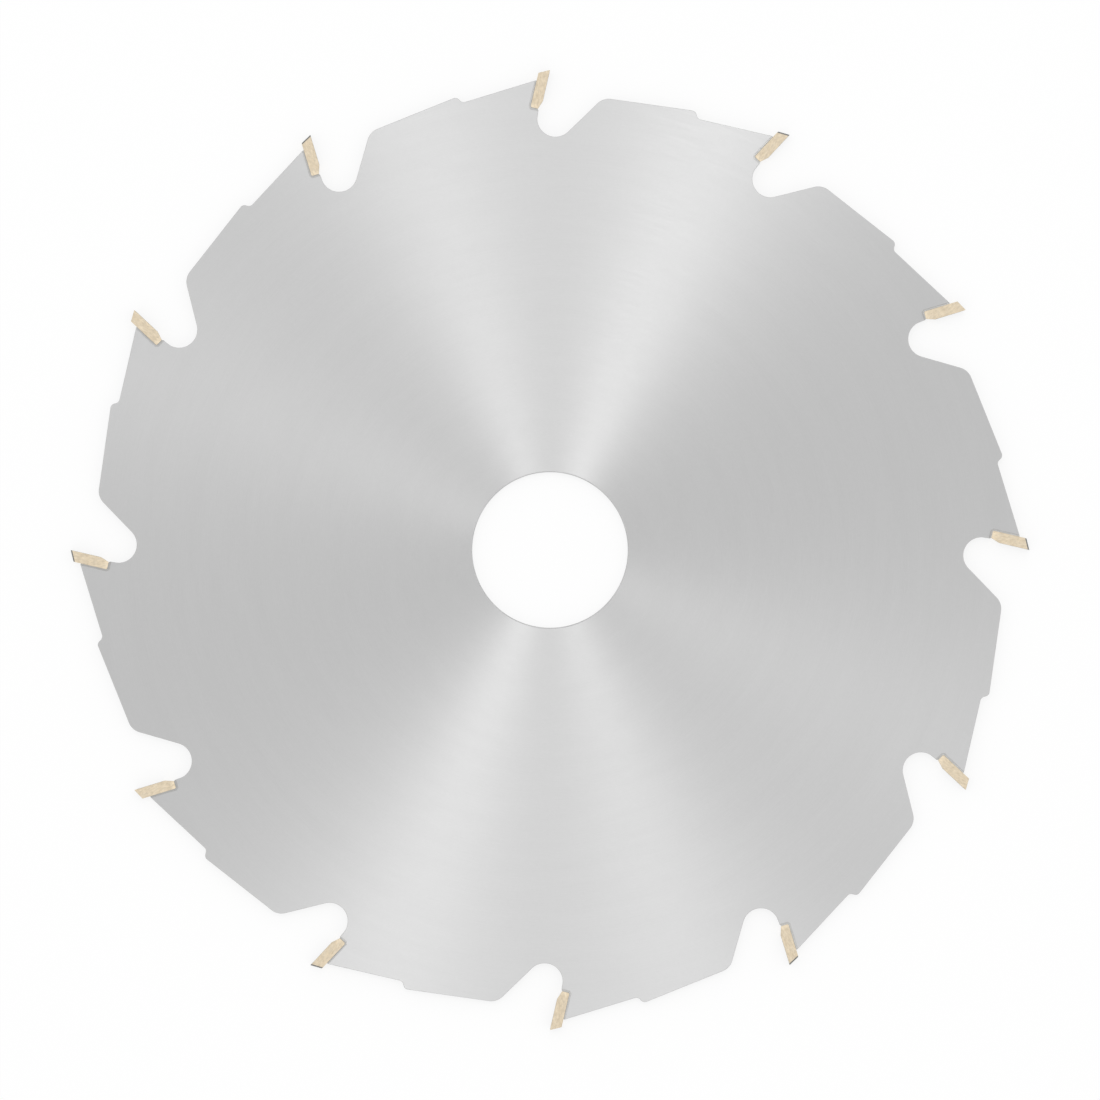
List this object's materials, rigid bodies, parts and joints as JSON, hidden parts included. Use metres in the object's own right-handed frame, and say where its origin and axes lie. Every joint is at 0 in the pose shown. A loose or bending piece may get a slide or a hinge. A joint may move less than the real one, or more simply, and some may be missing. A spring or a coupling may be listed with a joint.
{
  "type": "circular saw blade",
  "caption": "Flat round saw blade with a central arbor hole, wide-pitched hooked teeth, deep gullets, chip-limiting humps and brazed carbide tips, for ripping timber.",
  "frame": {"origin": "centre of the arbor hole, half way through the plate's thickness", "axes": "+Z along the arbor axis, out of the face that sees the blade turn clockwise; +Y through the point of the first tooth"},
  "size_m": [0.185, 0.185, 0.0024],
  "materials": {
    "ground_steel": "circular ground",
    "carbide": "matt, sintered",
    "braze": "satin"
  },
  "bodies": {
    "root": {"blade_plate": "ground_steel", "carbide_tip_01": "carbide", "carbide_tip_02": "carbide", "carbide_tip_03": "carbide", "carbide_tip_04": "carbide", "carbide_tip_05": "carbide", "carbide_tip_06": "carbide", "carbide_tip_07": "carbide", "carbide_tip_08": "carbide", "carbide_tip_09": "carbide", "carbide_tip_10": "carbide", "carbide_tip_11": "carbide", "carbide_tip_12": "carbide", "braze_01": "braze", "braze_02": "braze", "braze_03": "braze", "braze_04": "braze", "braze_05": "braze", "braze_06": "braze", "braze_07": "braze", "braze_08": "braze", "braze_09": "braze", "braze_10": "braze", "braze_11": "braze", "braze_12": "braze"}
  },
  "joints": []
}
